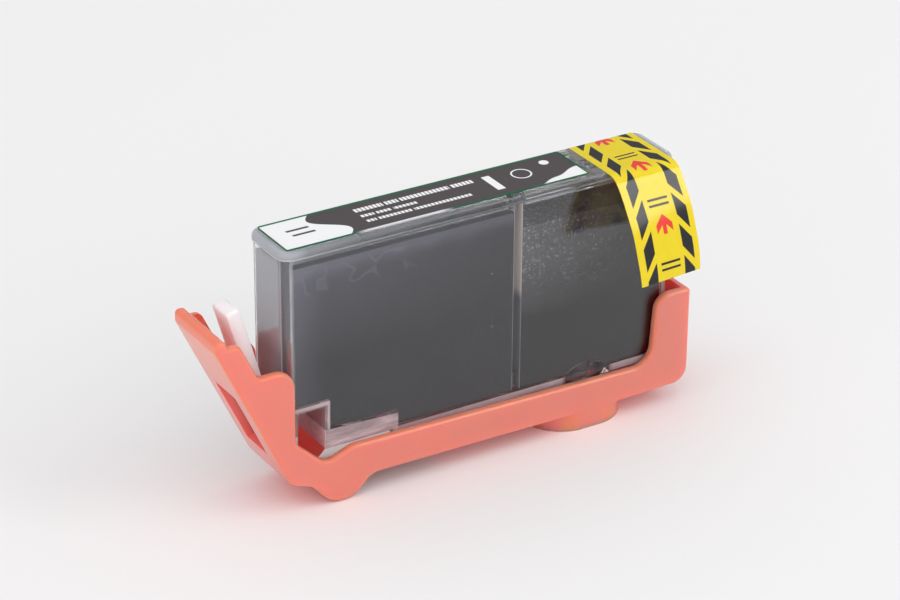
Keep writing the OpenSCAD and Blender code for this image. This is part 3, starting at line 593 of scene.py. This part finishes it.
make_tape()
make_label()
make_softened("guard", "transport_guard", 0.22, guard_finish(),
              first=(0.6, lambda p: abs(p.y) > GUARD_W / 2 - 0.01))
make_softened("tank", "clear_tank", 0.15, tank_finish(),
              first=(0.4, lambda p: p.x < TANK_X0 - 0.3 and p.z > 20))
make_softened("lid", "clear_lid", 0.1, lid_finish(), 2)

carried = {
    "ink_fill": ink_finish(),
    "foam_upper": foam_finish("damp foam"),
    "foam_lower": foam_finish("soaked foam"),
    "outlet_wick": plain_finish("wet fibre wick", (0.012, 0.012, 0.014), (0.05, 0.05, 0.05), 0.6, 8.0, 0.5),
    "fill_plug": plain_finish("milky stopper", (0.62, 0.62, 0.60), (0.72, 0.72, 0.70), 0.35, 3.0, 0.1,
                              Transmission_Weight=0.3),
    "chip_board": board_finish(),
    "chip_contacts": plain_finish("plated contacts", (0.80, 0.56, 0.18), (0.90, 0.68, 0.28), 0.22, 6.0, 0.1,
                                  Metallic=1.0),
    "chip_resin": plain_finish("milky resin", (0.40, 0.35, 0.33), (0.48, 0.43, 0.40), 0.25, 2.0, 0.15),
    "chip_led": plain_finish("diode lens", (0.80, 0.76, 0.60), (0.88, 0.84, 0.70), 0.2, 3.0, 0.05),
    "guard_seal": plain_finish("seal rubber", (0.022, 0.022, 0.024), (0.045, 0.045, 0.048), 0.6, 5.0, 0.3),
}
for name, material in carried.items():
    nodes[name].data.materials.clear()
    nodes[name].data.materials.append(material)


# Floor, light and camera
select_none()
bpy.ops.mesh.primitive_grid_add(x_subdivisions=8, y_subdivisions=8, size=6.0, location=(0, 1.2, 0))
floor = bpy.context.object
floor.name = "studio floor"
floor.data.materials.append(floor_finish())

world = bpy.context.scene.world or bpy.data.worlds.new("studio")
bpy.context.scene.world = world
world.use_nodes = True
tree = world.node_tree
sky = Value(tree, tree.nodes.new("ShaderNodeTexCoord").outputs["Generated"])
parts = sky.node("SeparateXYZ", None, {0: sky}).socket.node.outputs
across, toward, height = (Value(tree, parts[i]) for i in range(3))
behind = ((toward - 0.15) / 0.5 + 0.5).clamp() * (1 - ((height - 0.62) / 0.3 + 0.5).clamp())
ahead = (across * -0.5 + toward * -0.2 + 0.5).clamp()
shade = behind.mix(ahead.mix(rgb(0.76, 0.77, 0.79), rgb(1.08, 1.08, 1.09)), rgb(0.40, 0.40, 0.42))
tree.links.new(shade.socket, tree.nodes["Background"].inputs["Color"])
tree.nodes["Background"].inputs["Strength"].default_value = 1.0


def softbox(name, away, distance, size, power, lean=0):
    """An area lamp in the direction `away` from the part, facing it and leaning by so many degrees."""
    lamp = bpy.data.lights.new(name, "AREA")
    lamp.shape, lamp.size, lamp.size_y = "RECTANGLE", size[0], size[1]
    lamp.energy = power
    holder = bpy.data.objects.new(name, lamp)
    bpy.context.scene.collection.objects.link(holder)
    direction = Vector(away).normalized()
    holder.location = direction * distance + Vector((-0.02, 0, 0.02))
    facing = direction.to_track_quat("Z", "Y").to_matrix() @ Matrix.Rotation(math.radians(lean), 3, "Z")
    holder.rotation_euler = facing.to_euler()
    return holder


softbox("right softbox", (0.527, -0.586, 0.616), 0.9, (0.14, 0.62), 1.3, -30)
softbox("overhead softbox", (-0.3, -0.2, 0.9), 1.5, (1.3, 0.9), 3.2)

camera_data = bpy.data.cameras.new("camera")
camera = bpy.data.objects.new("camera", camera_data)
bpy.context.scene.collection.objects.link(camera)
azimuth, elevation, roll = (math.radians(a) for a in CAMERA_TURNS)
back = Vector((math.sin(azimuth) * math.cos(elevation), -math.cos(azimuth) * math.cos(elevation),
               math.sin(elevation)))
level = back.cross(Vector((0, 0, 1))).normalized() * -1
upright = back.cross(level)
right = math.cos(roll) * level + math.sin(roll) * upright
up = -math.sin(roll) * level + math.cos(roll) * upright
turned = Matrix((right, up, back)).transposed().to_4x4()
camera.matrix_world = Matrix.Translation(Vector(CAMERA_AT) * MM) @ turned
camera_data.sensor_width, camera_data.lens = SENSOR_W, FOCAL_PX / PHOTO_W * SENSOR_W
camera_data.clip_start, camera_data.clip_end = 0.01, 20
bpy.context.scene.camera = camera
bpy.context.scene.view_settings.view_transform = "Standard"
